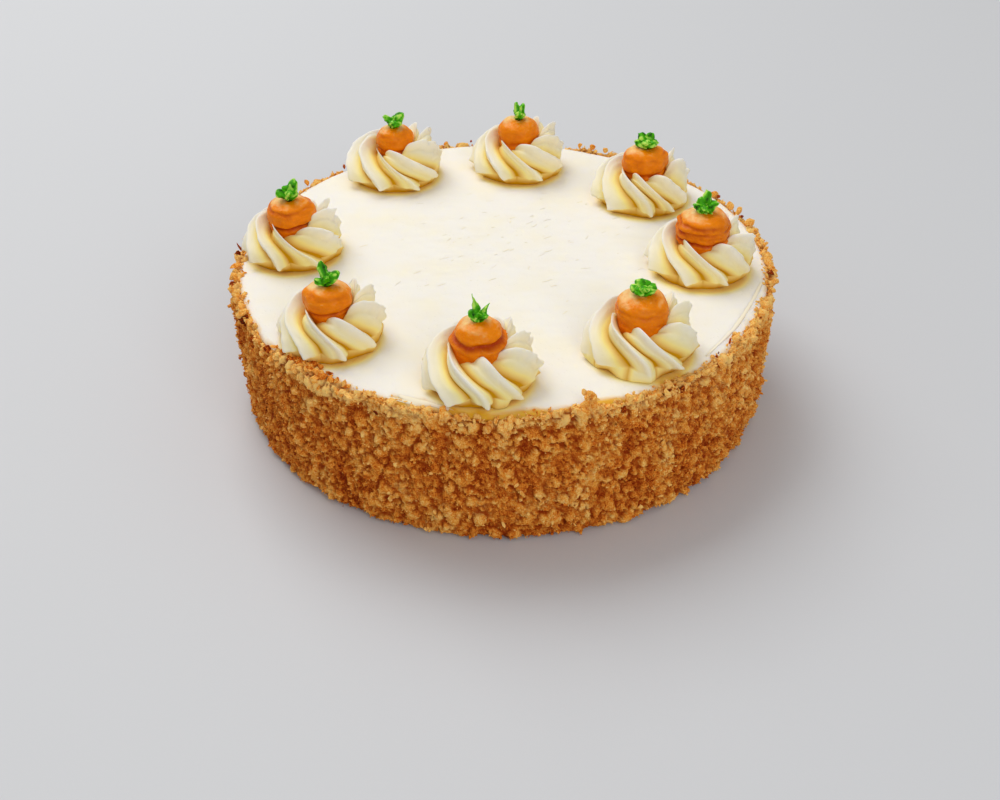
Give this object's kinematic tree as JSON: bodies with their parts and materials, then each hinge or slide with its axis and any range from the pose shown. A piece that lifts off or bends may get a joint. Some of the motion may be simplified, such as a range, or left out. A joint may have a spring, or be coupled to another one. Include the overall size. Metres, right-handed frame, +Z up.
{
  "type": "carrot cake",
  "caption": "Round carrot cake with a chopped-nut side, smooth pale frosting and a ring of piped swirls, each topped with a small piped carrot.",
  "frame": {"origin": "centre of the cake's flat underside, where it rests on its plate", "axes": "+Z up along the cake's axis; -Y towards the front, as the cake is pictured"},
  "size_m": [0.2358, 0.2347, 0.101],
  "materials": {
    "nut_crust": "coarse coat of golden-brown chopped nuts and crumbs, matt with small glints",
    "cream_frosting": "satin ivory cream-cheese frosting, spread flat on top and piped in swirls",
    "orange_frosting": "soft sheen orange frosting, piped",
    "green_frosting": "glossy green frosting, piped in small leaves"
  },
  "bodies": {
    "root": {"cake": "nut_crust", "frosting": "cream_frosting", "swirl_1": "cream_frosting", "swirl_2": "cream_frosting", "swirl_3": "cream_frosting", "swirl_4": "cream_frosting", "swirl_5": "cream_frosting", "swirl_6": "cream_frosting", "swirl_7": "cream_frosting", "swirl_8": "cream_frosting", "carrot_1": "orange_frosting", "carrot_2": "orange_frosting", "carrot_3": "orange_frosting", "carrot_4": "orange_frosting", "carrot_5": "orange_frosting", "carrot_6": "orange_frosting", "carrot_7": "orange_frosting", "carrot_8": "orange_frosting", "leaves_1": "green_frosting", "leaves_2": "green_frosting", "leaves_3": "green_frosting", "leaves_4": "green_frosting", "leaves_5": "green_frosting", "leaves_6": "green_frosting", "leaves_7": "green_frosting", "leaves_8": "green_frosting"}
  },
  "joints": []
}
